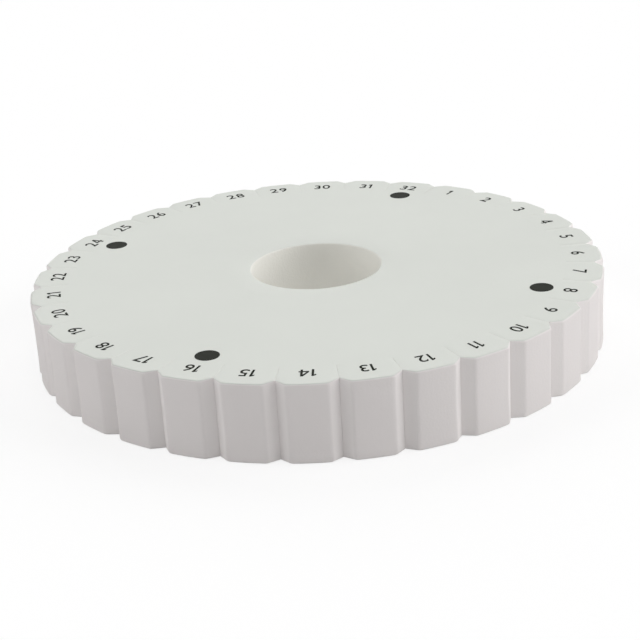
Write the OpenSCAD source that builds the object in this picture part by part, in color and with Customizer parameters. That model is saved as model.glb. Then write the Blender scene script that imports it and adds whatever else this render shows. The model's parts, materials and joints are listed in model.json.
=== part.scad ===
// Round foam braiding disk: a die-cut slab with a centre hole for the braid and a ring of
// knife slits that part its rim into tabs. The disk lies on its underside, with +Z up.
// Tabs count clockwise seen from above, and the last tab points along +Y.

/* [Disk] */
// Diameter over the rim
disk_d = 152.4; // [120:0.1:220]
// Thickness of the foam slab
disk_t = 20; // [8:0.5:30]
// Diameter of the centre hole that the finished braid hangs through
hole_d = 35; // [20:0.5:60]

/* [Tabs and slits] */
// Number of slits round the rim, which is also the number of tabs
slit_count = 32; // [16:4:40]
// Length of a tab along its middle, from the rim to its root
tab_l = 10; // [7:0.5:16]
// Width of a knife slit between two tabs
slit_w = 0.3; // [0.2:0.05:0.6]
// Clearance between the core and the root of each tab
root_gap = 0.15; // [0.1:0.05:0.4]

/* [Notches] */
// Width of a notch at the rim, before its shoulders are rounded
notch_w = 5.25; // [3:0.25:8]
// Depth of a notch, from the rim to the mouth of its slit
notch_depth = 2.5; // [2:0.25:5]
// Radius of the shoulder between a notch and the rim
shoulder_r = 1.75; // [0.5:0.25:4]

/* [Printed dots] */
// Diameter of a printed dot
dot_d = 6; // [3:0.5:9]
// Distance from the edge of a dot to the root of the tab that it points at
dot_inset = 0.7; // [0.3:0.1:4]
// Thickness of the ink film
ink_t = 0.05; // [0.03:0.01:0.2]

/* [Hidden] */
foam_color = [0.86, 0.87, 0.84];
ink_color = [0.15, 0.16, 0.14];
// Straight steps along the arc of a shoulder and along the arc of a tab's face
shoulder_steps = 6;
face_steps = 6;
// How far a cutting shape runs past the faces that it cuts
cut_over = 1;

rim_r = disk_d / 2;
root_r = rim_r - tab_l;
pitch = 360 / slit_count;
half_pitch = pitch / 2;
dot_ring_r = root_r - dot_inset - dot_d / 2;

DOT_NAMES = ["dot_north", "dot_east", "dot_south", "dot_west"];
TAB_NAMES = [for (n = [1 : slit_count]) str("tab_", n < 10 ? "0" : "", n)];

function polar(r, angle) = r * [cos(angle), sin(angle)];
function arc(centre, r, from, to, steps) =
    [for (i = [0 : steps]) centre + polar(r, from + (to - from) * i / steps)];

// Direction in which a tab points, and in which a dot lies
function tab_angle(n) = 90 - pitch * n;
function dot_angle(i) = 90 - 90 * i;

// The core is a polygon with one flat side behind each tab and a corner at the end of each slit
core_corner_r = root_r / cos(half_pitch);
core_outline = [for (n = [1 : slit_count]) polar(core_corner_r, tab_angle(n) + half_pitch)];

// Half of a tab is drawn beside its slit: x runs outward along the slit, y across it into the tab
foot = [rim_r - notch_depth, slit_w / 2];
brow = [sqrt(rim_r * rim_r - notch_w * notch_w / 4), notch_w / 2];
wall = (brow - foot) / norm(brow - foot);
inward = [-wall.y, wall.x];
// The shoulder's arc touches the notch's wall and, from inside, the rim
shoulder_base = foot + shoulder_r * inward;
wall_run = sqrt(pow(shoulder_base * wall, 2) - shoulder_base * shoulder_base
    + pow(rim_r - shoulder_r, 2)) - shoulder_base * wall;
shoulder_c = shoulder_base + wall_run * wall;
shoulder_from = atan2(wall.y, wall.x) - 90;
shoulder_to = atan2(shoulder_c.y, shoulder_c.x);
root_x = (root_r + root_gap - slit_w / 2 * sin(half_pitch)) / cos(half_pitch);
side_by_slit = concat(
    [[root_x, slit_w / 2], foot],
    arc(shoulder_c, shoulder_r, shoulder_from, shoulder_to, shoulder_steps)
);

// The same half in the tab's own frame, with x along the tab's middle
function beside_slit(p) = polar(p.x, half_pitch) + polar(p.y, half_pitch - 90);
left_side = [for (p = side_by_slit) beside_slit(p)];
right_side = [for (i = [len(left_side) - 1 : -1 : 0]) [left_side[i].x, -left_side[i].y]];
face_half_angle = half_pitch - shoulder_to;
face = arc([0, 0], rim_r, face_half_angle, -face_half_angle, face_steps);
face_inner_points = [for (i = [1 : face_steps - 1]) face[i]];
tab_outline = concat(left_side, face_inner_points, right_side);

// The middle of the slab, which carries every tab at its root
module disk_core() {
    color(foam_color)
    difference() {
        linear_extrude(disk_t) polygon(core_outline);
        translate([0, 0, -cut_over]) cylinder(d = hole_d, h = disk_t + 2 * cut_over, $fn = 96);
    }
}

// One tab of the rim, between two slits
module tab(n) {
    color(foam_color)
    rotate(tab_angle(n))
    linear_extrude(disk_t) polygon(tab_outline);
}

// One printed dot on the upper face, behind the tab that ends a quarter of the count
module dot(i) {
    color(ink_color)
    translate(concat(polar(dot_ring_r, dot_angle(i)), disk_t))
    cylinder(d = dot_d, h = ink_t, $fn = 48);
}

disk_core();
for (n = [1 : slit_count]) {
    tab(n);
}
for (i = [0 : len(DOT_NAMES) - 1]) {
    dot(i);
}
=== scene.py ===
import json
import math
import random

import bmesh
import bpy
from mathutils import Matrix, Vector


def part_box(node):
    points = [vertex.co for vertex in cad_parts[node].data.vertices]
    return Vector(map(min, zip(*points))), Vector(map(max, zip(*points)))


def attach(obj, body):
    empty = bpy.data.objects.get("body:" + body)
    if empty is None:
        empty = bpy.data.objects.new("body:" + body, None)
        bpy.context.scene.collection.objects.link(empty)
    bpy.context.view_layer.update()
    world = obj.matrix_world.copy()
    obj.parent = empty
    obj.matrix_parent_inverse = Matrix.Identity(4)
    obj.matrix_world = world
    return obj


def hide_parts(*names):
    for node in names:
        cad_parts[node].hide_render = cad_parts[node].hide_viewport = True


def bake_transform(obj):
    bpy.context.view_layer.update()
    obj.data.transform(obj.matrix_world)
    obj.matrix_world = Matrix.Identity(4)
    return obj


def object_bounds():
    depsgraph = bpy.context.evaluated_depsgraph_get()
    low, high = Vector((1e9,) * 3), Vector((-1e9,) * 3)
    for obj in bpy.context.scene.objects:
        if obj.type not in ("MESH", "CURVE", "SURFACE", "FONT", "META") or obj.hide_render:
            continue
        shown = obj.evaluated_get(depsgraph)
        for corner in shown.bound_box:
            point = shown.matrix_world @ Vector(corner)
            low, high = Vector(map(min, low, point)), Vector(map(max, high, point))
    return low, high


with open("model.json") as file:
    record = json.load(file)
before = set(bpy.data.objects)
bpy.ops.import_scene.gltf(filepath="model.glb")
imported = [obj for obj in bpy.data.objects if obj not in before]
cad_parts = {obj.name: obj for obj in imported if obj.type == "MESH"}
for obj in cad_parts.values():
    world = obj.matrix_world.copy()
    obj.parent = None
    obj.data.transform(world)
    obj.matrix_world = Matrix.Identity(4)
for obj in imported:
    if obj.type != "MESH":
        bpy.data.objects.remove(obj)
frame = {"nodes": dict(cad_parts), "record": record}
cad_low, cad_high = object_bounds()

# Sizes that the frame gives, in metres
MM = 0.001
core_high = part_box("disk_core")[1]
rim_r = cad_high.x
root_r = core_high.x
top_z = core_high.z
hole_mount = next(m for m in frame["record"]["mounts"] if m["name"] == "center_hole")
hole_r = hole_mount["dims"]["r_mm"] * MM
tab_names = sorted(n for n in frame["nodes"] if n.startswith("tab_"))
dot_names = sorted(n for n in frame["nodes"] if n.startswith("dot_"))
pitch = 2 * math.pi / len(tab_names)
half_pitch = pitch / 2

# Outline of a tab, as in the part's source
NOTCH_W = 5.25 * MM
NOTCH_DEPTH = 2.5 * MM
SHOULDER_R = 1.75 * MM
# A knife slit whose faces nearly touch
SLIT_W = 0.03 * MM

# Radius of the soft die-cut edges: along a slit, where a slit meets its notch, on the rim and on the hole
SLIT_EDGE_R = 0.03 * MM
FOOT_EDGE_R = 0.20 * MM
RIM_EDGE_R = 0.70 * MM
HOLE_EDGE_R = 0.45 * MM
# The cut walls bow in a little between the two faces
WALL_BOW = 0.15 * MM
# The die rolls the lowest part of some tabs over and leaves a faint crease above it
CREASE_Z = 2.7 * MM
CREASE_HALF_W = 0.5 * MM
CREASE_DEPTH = 0.16 * MM
CREASE_SEED = 7
# A higher power leaves more of the creases faint
CREASE_POWER = 2

# Mesh steps
EDGE_STEPS = 4
WALL_STEPS = 10
SLIT_STEPS = 14
NOTCH_STEPS = 3
SHOULDER_STEPS = 6
FACE_STEPS = 6
CROSS_STEPS = 8
CORE_ROWS = 7
SHARP_ANGLE = math.radians(35)

# Printed numbers
NUMBER_RING_R = 70.0 * MM
NUMBER_H = 3.65 * MM
DIGIT_GAP = 0.60 * MM
# How far the outline of a digit is let out, in heights of the font, for a bolder stroke
DIGIT_BOLD = 0.008
# Outlines, one unit high, of the digits that the built-in font draws too plain or too closed
OWN_DIGITS = {
    "1": [[(0.14, 0), (0.29, 0), (0.29, 1), (0.17, 1), (0, 0.87), (0, 0.71), (0.14, 0.81)]],
    "4": [
        [
            (0.39, 0), (0.54, 0), (0.54, 0.235), (0.66, 0.235), (0.66, 0.37), (0.54, 0.37),
            (0.54, 1), (0.37, 1), (0, 0.37), (0, 0.235), (0.39, 0.235),
        ],
        [(0.155, 0.37), (0.39, 0.37), (0.39, 0.77)],
    ],
}
# A digit is first made one unit thick, half of it on each side of its plane
UNIT_HALF = 0.5
# Spacing of the cuts across a number that let it follow its tab when the tab bends
NUMBER_ROW_L = 0.4 * MM
# The ink stands this far above the foam, and its film reaches as far below the surface
INK_RISE = 0.04 * MM
# Points of a number closer than this are one point
WELD_L = 0.001 * MM

# Foam colours: the skin and the cut faces of the tabs; the notch walls and the hole wall are cut foam
# painted paler, as painted light for the light that the foam lets through into them
SKIN_COLOUR = (0.658, 0.676, 0.637)
FACE_COLOUR = (0.702, 0.670, 0.662)
# Cut foam of the notch walls, painted paler as painted light
WALL_PAINTED_LIGHT_COLOUR = (0.810, 0.776, 0.766)
# Cut foam of the hole wall, painted paler as painted light
HOLE_PAINTED_LIGHT_COLOUR = (0.800, 0.792, 0.745)
TONE_SPREAD = 0.02
FOAM_ROUGHNESS = (0.80, 0.90)
FOAM_SPECULAR = 0.2
# Foam lets some light through, so the walls of a notch look turned less far from the rim than they are
WALL_SOFTENING = 0.50

# How level a surface lies where cut foam gives way to skin
SKIN_RANGE = (0.60, 0.95)
# How far a surface faces outward where a look changes: notch walls painted paler as painted light, the hole
# painted paler as painted light, and softened walls
PAINTED_WALL_LIGHT_RANGE = (0.70, 0.95)
HOLE_RANGE = (-0.6, -0.3)
SOFTENED_RANGE = (0.2, 0.5)
NONE_TO_FULL = (0.0, 1.0)
FULL_TO_NONE = (1.0, 0.0)
# The part of its range in which a noise mostly lies
NOISE_RANGE = (0.3, 0.7)

# Foam texture: scales per metre, depths, and strengths from 0 to 1
TONE_SCALE = 30.0
TONE_DETAIL = 3.0
CELL_SCALE = 1900.0
CELL_DEPTH = 0.08 * MM
CELL_ON_CUTS = 0.45
CELL_ON_SKIN = 0.16
MARK_SCALE = 900.0
MARK_DETAIL = 3.0
MARK_DEPTH = 0.08 * MM
MARK_ON_CUTS = 0.35
MARK_ON_SKIN = 0.0
# The knife's marks run up and down the cuts
MARK_STRETCH = (1.0, 1.0, 0.06)
SWELL_SCALE = 120.0
SWELL_DETAIL = 4.0
SWELL_DEPTH = 0.25 * MM
SWELL_STRENGTH = 0.25
# Factors that drop the height from a place
LEVEL_ONLY = (1.0, 1.0, 0.0)

# Ink
INK_DARK = (0.008, 0.009, 0.006)
INK_PALE = (0.014, 0.016, 0.011)
INK_ROUGHNESS = (0.65, 0.80)
INK_SPECULAR = 0.06
BLOTCH_SCALE = 900.0
BLOTCH_DETAIL = 4.0
GRAIN_SCALE = 1500.0
GRAIN_DETAIL = 3.0
GRAIN_DEPTH = 0.03 * MM
GRAIN_STRENGTH = 0.3

# Camera, as fitted to the photograph
CAMERA_AZIMUTH = math.radians(25.35)
CAMERA_ELEVATION = math.radians(22.32)
CAMERA_ROLL = math.radians(-3.64)
CAMERA_DISTANCE = 365.2 * MM
CAMERA_TARGET = Vector((16.83 * MM, -35.24 * MM, top_z))
CAMERA_LENS_MM = 83.9
CAMERA_SENSOR_MM = 36.0
CAMERA_CLIP_START = 10.0 * MM

# Stage and light
WHITE = (1, 1, 1, 1)
FLOOR_SIZE = 6.0
# The floor lies this far below the disk, so that their faces don't meet
FLOOR_DROP = 0.02 * MM
FLOOR_BOUNCE = 0.75
# Share of plain white in the floor that the camera sees; the rest shows the object's shadow
FLOOR_WHITE = 0.74
WORLD_LIGHT = 0.05
# Broad lamps: name, then direction from the camera's right hand, elevation and apparent width
# in degrees, then strength
LAMPS = [
    ("key_right", -2.0, 14.0, 60.0, 2.50),
    ("fill_left", 180.0, 20.0, 50.0, 1.30),
    ("front_top", -85.0, 50.0, 60.0, 0.88),
    ("back_top", 90.0, 30.0, 60.0, 1.35),
    ("overhead", 0.0, 89.0, 90.0, 0.50),
]


def polar(r, angle):
    return Vector((r * math.cos(angle), r * math.sin(angle)))


def tab_angle(number):
    """Direction of a tab: the numbers run clockwise from above, and the last one points along +Y."""
    return math.pi / 2 - pitch * number


def wall_bow(share):
    """How far a cut wall bows in at a share of its height, most of all half-way up."""
    return WALL_BOW * 4 * share * (1 - share)


def link(obj):
    bpy.context.scene.collection.objects.link(obj)
    return obj


def mesh_object(name, build, material):
    """A smooth-shaded mesh object from a function that fills a bmesh."""
    bm = bmesh.new()
    build(bm)
    bmesh.ops.recalc_face_normals(bm, faces=bm.faces)
    mesh = bpy.data.meshes.new(name)
    bm.to_mesh(mesh)
    bm.free()
    mesh.polygons.foreach_set("use_smooth", [True] * len(mesh.polygons))
    mesh.set_sharp_from_angle(angle=SHARP_ANGLE)
    mesh.materials.append(material)
    return link(bpy.data.objects.new(name, mesh))


# Foam tabs
def half_outline():
    """Left half of a tab's outline from its root to the middle of its face, as (place, edge radius, cut).

    It is worked out beside the slit, with x outward along the slit and y across it into the tab,
    and then turned into the tab's own frame. Cut is 1 on the die-cut rim and 0 in the slit.
    """
    foot = Vector((rim_r - NOTCH_DEPTH, SLIT_W / 2))
    brow = Vector((math.sqrt(rim_r**2 - NOTCH_W**2 / 4), NOTCH_W / 2))
    wall = (brow - foot).normalized()
    inward = Vector((-wall.y, wall.x))
    base = foot + SHOULDER_R * inward
    base_along = base.dot(wall)
    run = math.sqrt(base_along**2 - base.length_squared + (rim_r - SHOULDER_R) ** 2) - base_along
    centre = base + run * wall
    arc_from = math.atan2(wall.y, wall.x) - math.pi / 2
    arc_to = math.atan2(centre.y, centre.x)
    root_x = (root_r - SLIT_W / 2 * math.sin(half_pitch)) / math.cos(half_pitch)
    root = Vector((root_x, SLIT_W / 2))

    points = []
    for i in range(SLIT_STEPS):
        points.append((root.lerp(foot, i / SLIT_STEPS), SLIT_EDGE_R, 0.0))
    points.append((foot, FOOT_EDGE_R, 0.0))
    shoulder_start = centre + polar(SHOULDER_R, arc_from)
    for i in range(1, NOTCH_STEPS):
        share = i / NOTCH_STEPS
        edge_r = FOOT_EDGE_R + (RIM_EDGE_R - FOOT_EDGE_R) * share
        points.append((foot.lerp(shoulder_start, share), edge_r, share))
    for i in range(SHOULDER_STEPS + 1):
        angle = arc_from + (arc_to - arc_from) * i / SHOULDER_STEPS
        points.append((centre + polar(SHOULDER_R, angle), RIM_EDGE_R, 1.0))
    for i in range(1, FACE_STEPS + 1):
        angle = arc_to + (half_pitch - arc_to) * i / FACE_STEPS
        points.append((polar(rim_r, angle), RIM_EDGE_R, 1.0))

    def to_tab(p):
        return p.x * polar(1, half_pitch) + p.y * polar(1, half_pitch - math.pi / 2)

    return [(to_tab(p), edge_r, cut) for p, edge_r, cut in points]


def inward_normals(places):
    """For each point of a closed outline, the step that insets both of its edges by one unit."""
    count = len(places)
    edge_normals = []
    for i in range(count):
        edge = (places[(i + 1) % count] - places[i]).normalized()
        edge_normals.append(Vector((edge.y, -edge.x)))
    steps = []
    for i in range(count):
        before = edge_normals[i - 1]
        after = edge_normals[i]
        steps.append((before + after) / (1 + before.dot(after)))
    return steps


def tab_levels(crease):
    """Rings of a tab from bottom to top, as (z, rise, edge inset, wall inset).

    The rise above z and the edge inset are in edge radii, which change along the outline.
    """
    levels = []
    for i in range(EDGE_STEPS):
        a = math.pi / 2 * (1 - i / EDGE_STEPS)
        levels.append((0.0, 1 - math.sin(a), 1 - math.cos(a), 0.0))
    heights = [top_z * i / WALL_STEPS for i in range(WALL_STEPS + 1)]
    heights += [CREASE_Z - CREASE_HALF_W, CREASE_Z, CREASE_Z + CREASE_HALF_W]
    for z in sorted(heights):
        share = z / top_z
        dip = CREASE_DEPTH * crease if z == CREASE_Z else 0.0
        # The wall ends one edge radius above the lower face and below the upper one
        end = 1 - 2 * share
        if abs(end) == 1.0:
            levels.append((z, end, 0.0, 0.0))
        else:
            levels.append((z, 0.0, 0.0, wall_bow(share) + dip))
    for i in range(1, EDGE_STEPS + 1):
        a = math.pi / 2 * i / EDGE_STEPS
        levels.append((top_z, math.sin(a) - 1, 1 - math.cos(a), 0.0))
    return levels


def build_tab(bm, angle, crease):
    """A closed foam tab with soft edges on its rim, a plain end at its root and rows along its length."""
    half = half_outline()
    mirrored = [(Vector((p.x, -p.y)), r, c) for p, r, c in half[-2::-1]]
    outline = half + mirrored
    steps = inward_normals([p for p, _, _ in outline])
    # The root stays on its line, so its corners move along it
    steps[0] = Vector((0, -1))
    steps[-1] = Vector((0, 1))
    turn = Matrix.Rotation(angle, 3, "Z")

    rings = []
    for z, rise, edge_inset, wall_inset in tab_levels(crease):
        ring = []
        for (place, edge_r, cut), step in zip(outline, steps):
            spot = place + step * (edge_r * edge_inset + wall_inset * cut)
            ring.append(bm.verts.new(turn @ Vector((spot.x, spot.y, z + edge_r * rise))))
        rings.append(ring)
    for lower, upper in zip(rings, rings[1:]):
        for i in range(len(outline) - 1):
            bm.faces.new((lower[i], lower[i + 1], upper[i + 1], upper[i]))

    root_rows = []
    for ring in (rings[0], rings[-1]):
        rows = []
        for i in range(len(half) - 1):
            left = ring[i]
            right = ring[len(outline) - 1 - i]
            inner = [bm.verts.new(left.co.lerp(right.co, k / CROSS_STEPS)) for k in range(1, CROSS_STEPS)]
            rows.append([left] + inner + [right])
        for near, far in zip(rows, rows[1:]):
            for k in range(CROSS_STEPS):
                bm.faces.new((near[k], near[k + 1], far[k + 1], far[k]))
        middle = ring[len(half) - 1]
        for k in range(CROSS_STEPS):
            bm.faces.new((rows[-1][k], rows[-1][k + 1], middle))
        root_rows.append(rows[0])
    left_side = [ring[0] for ring in rings[1:-1]]
    right_side = [ring[-1] for ring in rings[1:-1]]
    bm.faces.new(root_rows[0] + right_side + root_rows[1][::-1] + left_side[::-1])


def blend_with_tab(piece):
    """The piece's place is baked into its mesh."""
    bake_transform(piece)


def add_tabs(foam):
    rng = random.Random(CREASE_SEED)
    for number, name in enumerate(tab_names, start=1):
        angle = tab_angle(number)
        crease = rng.random() ** CREASE_POWER
        tab = mesh_object("foam_" + name, lambda bm: build_tab(bm, angle, crease), foam)
        blend_with_tab(tab)
        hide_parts(name)


# Foam core
def core_profile(outer_r):
    """Closed section of the core at one place round it, as (radius, height).

    It starts at the outer edge of the underside and runs inward, up the hole and out along the top.
    """
    points = []
    hole_edge = hole_r + HOLE_EDGE_R
    for i in range(CORE_ROWS):
        points.append((outer_r + (hole_edge - outer_r) * i / CORE_ROWS, 0.0))
    for i in range(EDGE_STEPS + 1):
        a = math.pi / 2 * i / EDGE_STEPS
        points.append((hole_edge - HOLE_EDGE_R * math.sin(a), HOLE_EDGE_R * (1 - math.cos(a))))
    for i in range(1, WALL_STEPS):
        share = i / WALL_STEPS
        z = HOLE_EDGE_R + (top_z - 2 * HOLE_EDGE_R) * share
        points.append((hole_r + wall_bow(share), z))
    for i in range(EDGE_STEPS + 1):
        a = math.pi / 2 * i / EDGE_STEPS
        points.append((hole_edge - HOLE_EDGE_R * math.cos(a), top_z - HOLE_EDGE_R * (1 - math.sin(a))))
    for i in range(1, CORE_ROWS + 1):
        points.append((hole_edge + (outer_r - hole_edge) * i / CORE_ROWS, top_z))
    return points


def build_core(bm):
    """The middle of the slab: a flat side behind each tab, and a soft-edged hole."""
    corner_r = root_r / math.cos(half_pitch)
    columns = []
    for number in range(len(tab_names)):
        corner = polar(corner_r, tab_angle(number) + half_pitch)
        next_corner = polar(corner_r, tab_angle(number) - half_pitch)
        for k in range(CROSS_STEPS):
            spot = corner.lerp(next_corner, k / CROSS_STEPS)
            direction = spot.normalized()
            profile = core_profile(spot.length)
            columns.append([bm.verts.new((r * direction.x, r * direction.y, z)) for r, z in profile])
    for here, beside in zip(columns, columns[1:] + columns[:1]):
        for i in range(len(here)):
            j = (i + 1) % len(here)
            bm.faces.new((here[i], here[j], beside[j], beside[i]))


def add_core(foam):
    core = mesh_object("foam_core", build_core, foam)
    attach(core, "core")
    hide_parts("disk_core")


# Printed numbers
def digit_curve(digit):
    """A flat filled curve in the shape of a digit."""
    if digit not in OWN_DIGITS:
        curve = bpy.data.curves.new("digit", "FONT")
        curve.body = digit
        curve.offset = DIGIT_BOLD
        return curve
    curve = bpy.data.curves.new("digit", "CURVE")
    curve.dimensions = "2D"
    curve.fill_mode = "BOTH"
    for outline in OWN_DIGITS[digit]:
        spline = curve.splines.new("POLY")
        spline.points.add(len(outline) - 1)
        for point, (x, y) in zip(spline.points, outline):
            point.co = (x, y, 0, 1)
        spline.use_cyclic_u = True
    return curve


def digit_mesh(digit):
    """A thin film in the shape of a digit, and its width.

    Its left side lies at x = 0, and its middle at y = 0.
    """
    curve = digit_curve(digit)
    curve.extrude = UNIT_HALF
    holder = link(bpy.data.objects.new("digit", curve))
    depsgraph = bpy.context.evaluated_depsgraph_get()
    mesh = bpy.data.meshes.new_from_object(holder.evaluated_get(depsgraph))
    bpy.data.objects.remove(holder)
    bpy.data.curves.remove(curve)
    xs = [v.co.x for v in mesh.vertices]
    ys = [v.co.y for v in mesh.vertices]
    scale = NUMBER_H / (max(ys) - min(ys))
    mesh.transform(Matrix.Translation((-min(xs), -(max(ys) + min(ys)) / 2, 0)))
    mesh.transform(Matrix.Diagonal((scale, scale, 2 * INK_RISE, 1)))
    return mesh, scale * (max(xs) - min(xs))


def number_mesh(text):
    """A thin closed film of ink in the shape of a number, centred on the origin with its top towards +Y."""
    bm = bmesh.new()
    pen_x = 0.0
    for digit in text:
        mesh, width = digit_mesh(digit)
        mesh.transform(Matrix.Translation((pen_x, 0, 0)))
        bm.from_mesh(mesh)
        bpy.data.meshes.remove(mesh)
        pen_x += width + DIGIT_GAP
    number_w = pen_x - DIGIT_GAP
    bmesh.ops.translate(bm, verts=bm.verts, vec=(-number_w / 2, 0, 0))
    bmesh.ops.remove_doubles(bm, verts=bm.verts, dist=WELD_L)
    row_count = math.ceil(NUMBER_H / NUMBER_ROW_L)
    for i in range(1, row_count):
        y = NUMBER_H * (i / row_count - 0.5)
        whole = bm.verts[:] + bm.edges[:] + bm.faces[:]
        bmesh.ops.bisect_plane(bm, geom=whole, dist=WELD_L, plane_co=(0, y, 0), plane_no=(0, 1, 0))
    bmesh.ops.recalc_face_normals(bm, faces=bm.faces)
    mesh = bpy.data.meshes.new("number")
    bm.to_mesh(mesh)
    bm.free()
    return mesh


def add_numbers(ink):
    for number, name in enumerate(tab_names, start=1):
        angle = tab_angle(number)
        place = polar(NUMBER_RING_R, angle)
        mesh = number_mesh(str(number))
        mesh.transform(Matrix.Rotation(angle - math.pi / 2, 4, "Z"))
        mesh.transform(Matrix.Translation((place.x, place.y, top_z)))
        mesh.materials.clear()
        mesh.materials.append(ink)
        piece = link(bpy.data.objects.new(f"number_{number:02d}", mesh))
        blend_with_tab(piece)


# Materials
class Nodes:
    """A short way to write a node tree."""

    # Where a Mix node has its two inputs and its result, for each kind of data
    MIX_SOCKETS = {"RGBA": (6, 7, 2), "VECTOR": (4, 5, 1)}

    def __init__(self, tree):
        self.tree = tree

    def add(self, kind, **values):
        node = self.tree.nodes.new(kind)
        for key, value in values.items():
            setattr(node, key, value)
        return node

    def join(self, output, socket):
        self.tree.links.new(output, socket)

    def operate(self, kind, operation, first, second=None):
        """A math or vector math node of one or two linked inputs."""
        node = self.add(kind, operation=operation)
        self.join(first, node.inputs[0])
        if second is not None:
            self.join(second, node.inputs[1])
        return node

    def absolute(self, value):
        return self.operate("ShaderNodeMath", "ABSOLUTE", value).outputs["Value"]

    def larger(self, first, second):
        return self.operate("ShaderNodeMath", "MAXIMUM", first, second).outputs["Value"]

    def dot(self, first, second):
        return self.operate("ShaderNodeVectorMath", "DOT_PRODUCT", first, second).outputs["Value"]

    def direction(self, vector):
        return self.operate("ShaderNodeVectorMath", "NORMALIZE", vector).outputs["Vector"]

    def stretched(self, vector, factors):
        """A vector with each of its parts multiplied by a factor of its own."""
        node = self.operate("ShaderNodeVectorMath", "MULTIPLY", vector)
        node.inputs[1].default_value = factors
        return node.outputs["Vector"]

    def fit(self, value, from_range, to_range):
        """A value carried from one range to another and held inside it."""
        from_low, from_high = from_range
        to_low, to_high = to_range
        node = self.add("ShaderNodeMapRange")
        node.inputs["From Min"].default_value = from_low
        node.inputs["From Max"].default_value = from_high
        node.inputs["To Min"].default_value = to_low
        node.inputs["To Max"].default_value = to_high
        self.join(value, node.inputs["Value"])
        return node.outputs["Result"]

    def noise(self, place, scale, detail):
        node = self.add("ShaderNodeTexNoise")
        node.inputs["Scale"].default_value = scale
        node.inputs["Detail"].default_value = detail
        self.join(place, node.inputs["Vector"])
        return node.outputs["Fac"]

    def ramp(self, noise, low, high):
        """Colours from low to high over the range in which a noise mostly lies."""
        node = self.add("ShaderNodeValToRGB")
        for element, position, colour in zip(node.color_ramp.elements, NOISE_RANGE, (low, high)):
            element.position = position
            element.color = (*colour, 1)
        self.join(noise, node.inputs["Fac"])
        return node.outputs["Color"]

    def mix(self, kind, factor, first, second):
        first_place, second_place, result_place = self.MIX_SOCKETS[kind]
        node = self.add("ShaderNodeMix", data_type=kind)
        self.join(factor, node.inputs["Factor"])
        self.join(first, node.inputs[first_place])
        self.join(second, node.inputs[second_place])
        return node.outputs[result_place]

    def bump(self, height, depth, strength, under=None):
        """A bumpy normal; its strength is a number or a linked value, and it can lie on another bump."""
        node = self.add("ShaderNodeBump")
        node.inputs["Distance"].default_value = depth
        if isinstance(strength, float):
            node.inputs["Strength"].default_value = strength
        else:
            self.join(strength, node.inputs["Strength"])
        self.join(height, node.inputs["Height"])
        if under is not None:
            self.join(under, node.inputs["Normal"])
        return node.outputs["Normal"]

    def seen(self):
        """1 for rays from the camera, a reflection or through glass, and 0 for rays that light things."""
        path = self.add("ShaderNodeLightPath").outputs
        camera_or_gloss = self.larger(path["Is Camera Ray"], path["Is Glossy Ray"])
        return self.larger(camera_or_gloss, path["Is Transmission Ray"])


def new_material(name):
    """A new material, its nodes and its shader."""
    material = bpy.data.materials.new(name)
    material.use_nodes = True
    nodes = Nodes(material.node_tree)
    return material, nodes, material.node_tree.nodes["Principled BSDF"]


def foam_colour(n, tone, skin, facing_out):
    """Colour of the foam's skin and the faces of the tabs, with the notch walls and the wall of the hole
    painted paler as painted light.
    """

    def toned(colour):
        low = [part * (1 - TONE_SPREAD) for part in colour]
        high = [part * (1 + TONE_SPREAD) for part in colour]
        return n.ramp(tone, low, high)

    # Notch walls and the hole wall get a paler colour than the faces: painted light
    painted_wall_light = n.fit(facing_out, PAINTED_WALL_LIGHT_RANGE, FULL_TO_NONE)
    in_hole = n.fit(facing_out, HOLE_RANGE, FULL_TO_NONE)
    rim_with_painted_light = n.mix("RGBA", painted_wall_light, toned(FACE_COLOUR), toned(WALL_PAINTED_LIGHT_COLOUR))
    cuts_with_painted_light = n.mix("RGBA", in_hole, rim_with_painted_light, toned(HOLE_PAINTED_LIGHT_COLOUR))
    return n.mix("RGBA", skin, cuts_with_painted_light, toned(SKIN_COLOUR))


def foam_bumps(n, place, skin):
    """Normal of the foam with its cells, the knife's marks on its cuts and a slow swell."""
    cells = n.add("ShaderNodeTexVoronoi")
    cells.inputs["Scale"].default_value = CELL_SCALE
    n.join(place, cells.inputs["Vector"])
    cell_strength = n.fit(skin, NONE_TO_FULL, (CELL_ON_CUTS, CELL_ON_SKIN))
    cell_normal = n.bump(cells.outputs["Distance"], CELL_DEPTH, cell_strength)
    marks = n.noise(n.stretched(place, MARK_STRETCH), MARK_SCALE, MARK_DETAIL)
    mark_strength = n.fit(skin, NONE_TO_FULL, (MARK_ON_CUTS, MARK_ON_SKIN))
    mark_normal = n.bump(marks, MARK_DEPTH, mark_strength, under=cell_normal)
    swell = n.noise(place, SWELL_SCALE, SWELL_DETAIL)
    return n.bump(swell, SWELL_DEPTH, SWELL_STRENGTH, under=mark_normal)


def foam_material():
    """White closed-cell foam: a smooth greenish-white skin, and cuts with open cells and knife marks."""
    material, n, shader = new_material("foam")
    coords = n.add("ShaderNodeTexCoord").outputs
    place = coords["Object"]
    outward = n.direction(n.stretched(place, LEVEL_ONLY))
    facing_out = n.dot(coords["Normal"], outward)
    normal_parts = n.add("ShaderNodeSeparateXYZ")
    n.join(coords["Normal"], normal_parts.inputs["Vector"])
    skin = n.fit(n.absolute(normal_parts.outputs["Z"]), SKIN_RANGE, NONE_TO_FULL)
    tone = n.noise(place, TONE_SCALE, TONE_DETAIL)

    n.join(foam_colour(n, tone, skin, facing_out), shader.inputs["Base Color"])
    softening = n.fit(facing_out, SOFTENED_RANGE, (0.0, WALL_SOFTENING))
    turned = n.mix("VECTOR", softening, foam_bumps(n, place, skin), outward)
    n.join(n.direction(turned), shader.inputs["Normal"])
    n.join(n.fit(tone, NOISE_RANGE, FOAM_ROUGHNESS), shader.inputs["Roughness"])
    shader.inputs["Specular IOR Level"].default_value = FOAM_SPECULAR
    return material


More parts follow.
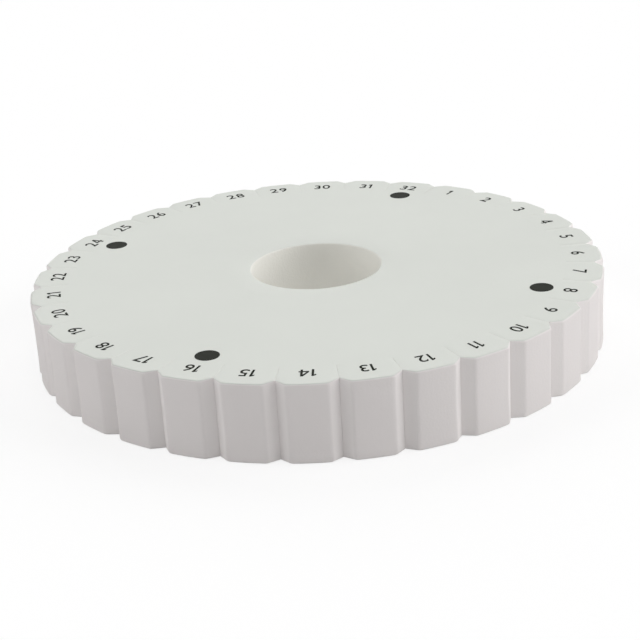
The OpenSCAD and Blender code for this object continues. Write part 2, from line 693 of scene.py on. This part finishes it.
def ink_material():
    """Dark screen-printed ink, a little uneven where it sank into the foam."""
    material, n, shader = new_material("ink")
    place = n.add("ShaderNodeTexCoord").outputs["Object"]
    blotch = n.noise(place, BLOTCH_SCALE, BLOTCH_DETAIL)
    grain = n.noise(place, GRAIN_SCALE, GRAIN_DETAIL)
    n.join(n.ramp(blotch, INK_DARK, INK_PALE), shader.inputs["Base Color"])
    n.join(n.bump(grain, GRAIN_DEPTH, GRAIN_STRENGTH), shader.inputs["Normal"])
    n.join(n.fit(blotch, NOISE_RANGE, INK_ROUGHNESS), shader.inputs["Roughness"])
    shader.inputs["Specular IOR Level"].default_value = INK_SPECULAR
    return material


# Stage and light
def floor_material():
    """A pale floor that bounces light, and that the camera sees as white with the object's shadow on it."""
    material, n, shader = new_material("floor")
    n.tree.nodes.remove(shader)
    pale = n.add("ShaderNodeBsdfDiffuse")
    pale.inputs["Color"].default_value = (FLOOR_BOUNCE, FLOOR_BOUNCE, FLOOR_BOUNCE, 1)
    white = n.add("ShaderNodeBsdfDiffuse")
    white.inputs["Color"].default_value = WHITE
    glow = n.add("ShaderNodeEmission")
    glow.inputs["Strength"].default_value = 1.0
    shown = n.add("ShaderNodeMixShader")
    shown.inputs["Fac"].default_value = FLOOR_WHITE
    n.join(white.outputs[0], shown.inputs[1])
    n.join(glow.outputs[0], shown.inputs[2])
    surface = n.add("ShaderNodeMixShader")
    n.join(n.seen(), surface.inputs["Fac"])
    n.join(pale.outputs[0], surface.inputs[1])
    n.join(shown.outputs[0], surface.inputs[2])
    n.join(surface.outputs[0], n.tree.nodes["Material Output"].inputs["Surface"])
    return material


def add_floor():
    bm = bmesh.new()
    bmesh.ops.create_grid(bm, x_segments=1, y_segments=1, size=FLOOR_SIZE / 2)
    mesh = bpy.data.meshes.new("floor")
    bm.to_mesh(mesh)
    bm.free()
    mesh.materials.append(floor_material())
    floor = link(bpy.data.objects.new("floor", mesh))
    floor.location.z = -FLOOR_DROP


def add_world():
    """A white surround for the camera, and an even soft light on the object."""
    world = bpy.data.worlds.new("studio")
    world.use_nodes = True
    n = Nodes(world.node_tree)
    surround = world.node_tree.nodes["Background"]
    surround.inputs["Color"].default_value = WHITE
    n.join(n.fit(n.seen(), NONE_TO_FULL, (WORLD_LIGHT, 1.0)), surround.inputs["Strength"])
    bpy.context.scene.world = world


def add_lights():
    for name, azimuth, elevation, width, strength in LAMPS:
        lamp = bpy.data.lights.new(name, "SUN")
        lamp.angle = math.radians(width)
        lamp.energy = strength
        sun = link(bpy.data.objects.new(name, lamp))
        a = CAMERA_AZIMUTH + math.radians(azimuth)
        e = math.radians(elevation)
        away = Vector((math.cos(a) * math.cos(e), math.sin(a) * math.cos(e), math.sin(e)))
        sun.location = away
        sun.rotation_mode = "QUATERNION"
        sun.rotation_quaternion = away.to_track_quat("Z", "Y")


def add_camera():
    a = CAMERA_AZIMUTH
    e = CAMERA_ELEVATION
    back = Vector((math.sin(a) * math.cos(e), -math.cos(a) * math.cos(e), math.sin(e)))
    level = Vector((math.cos(a), math.sin(a), 0))
    upright = back.cross(level)
    right = math.cos(CAMERA_ROLL) * level + math.sin(CAMERA_ROLL) * upright
    up = math.cos(CAMERA_ROLL) * upright - math.sin(CAMERA_ROLL) * level
    lens = bpy.data.cameras.new("camera")
    lens.lens = CAMERA_LENS_MM
    lens.sensor_width = CAMERA_SENSOR_MM
    lens.clip_start = CAMERA_CLIP_START
    camera = link(bpy.data.objects.new("camera", lens))
    pose = Matrix((right, up, back)).transposed().to_4x4()
    pose.translation = CAMERA_TARGET + back * CAMERA_DISTANCE
    camera.matrix_world = pose
    bpy.context.scene.camera = camera


def main():
    bpy.context.scene.view_settings.view_transform = "Standard"
    foam = foam_material()
    ink = ink_material()
    add_core(foam)
    add_tabs(foam)
    add_numbers(ink)
    for name in dot_names:
        frame["nodes"][name].material_slots[0].material = ink
    add_floor()
    add_world()
    add_lights()
    add_camera()


main()
